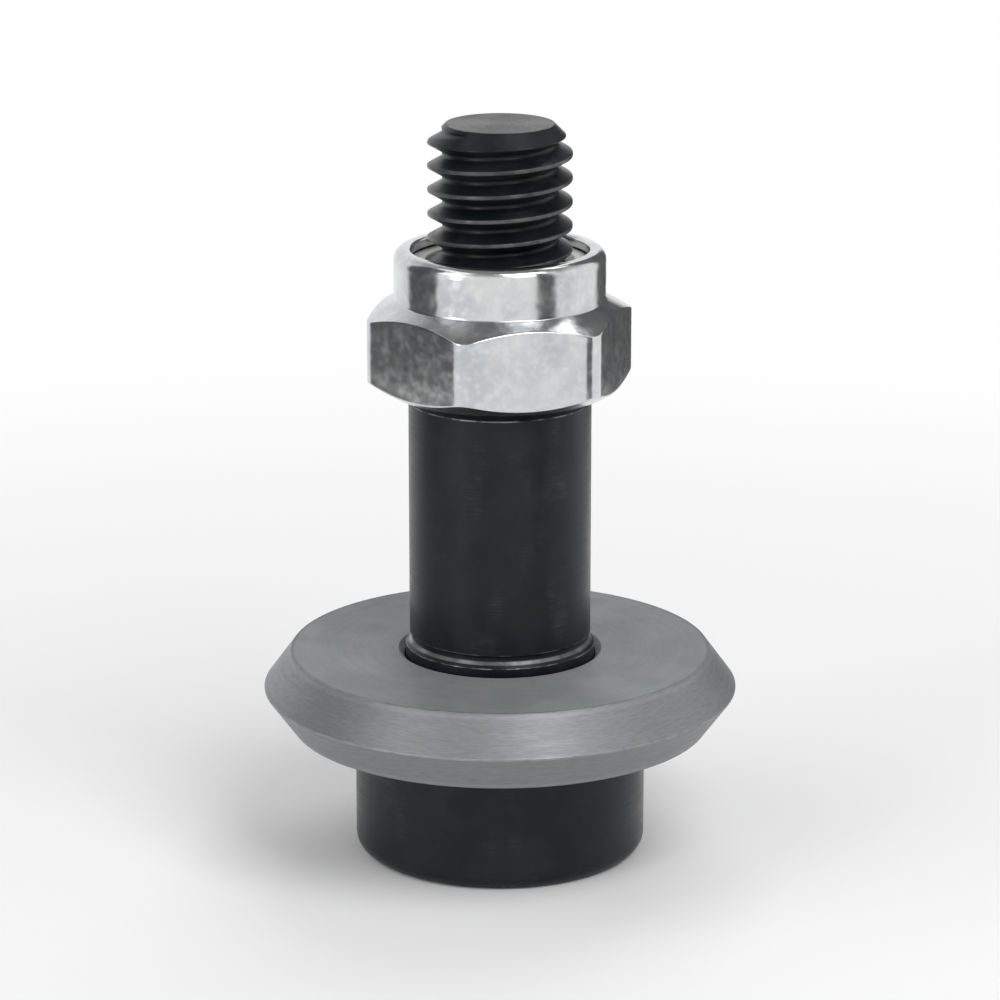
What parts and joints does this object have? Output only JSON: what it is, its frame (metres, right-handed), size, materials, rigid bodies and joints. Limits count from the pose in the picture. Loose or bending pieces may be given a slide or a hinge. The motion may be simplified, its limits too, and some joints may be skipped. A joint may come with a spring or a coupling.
{
  "type": "tile cutter wheel",
  "caption": "Carbide tile scoring wheel with a rim bevelled on both sides, free to turn on a blackened shoulder screw that ends in a thread with a nylon-insert lock nut.",
  "frame": {"origin": "centre of the screw head's end face, on the surface that the part stands on", "axes": "+Z along the screw, from its head to its thread; the wheel lies square to +Z"},
  "size_m": [0.02, 0.02, 0.0312],
  "materials": {
    "screw_steel": "black oxide on turned steel, satin, with faint scuffs",
    "wheel_carbide": "sintered and ground tungsten carbide, matte mid-grey, with a finely ground bevel",
    "nut_steel": "bright zinc plate",
    "ring_nylon": "natural nylon, slightly translucent"
  },
  "bodies": {
    "screw": {"axle_screw": "screw_steel", "lock_nut": "nut_steel", "nylon_ring": "ring_nylon"},
    "wheel": {"cutting_wheel": "wheel_carbide"}
  },
  "joints": [
    {"name": "wheel_spin", "type": "hinge", "parent": "screw", "child": "wheel", "pos_m": [0, 0, 0.00715], "axis": [0, 0, 1], "continuous": true}
  ]
}
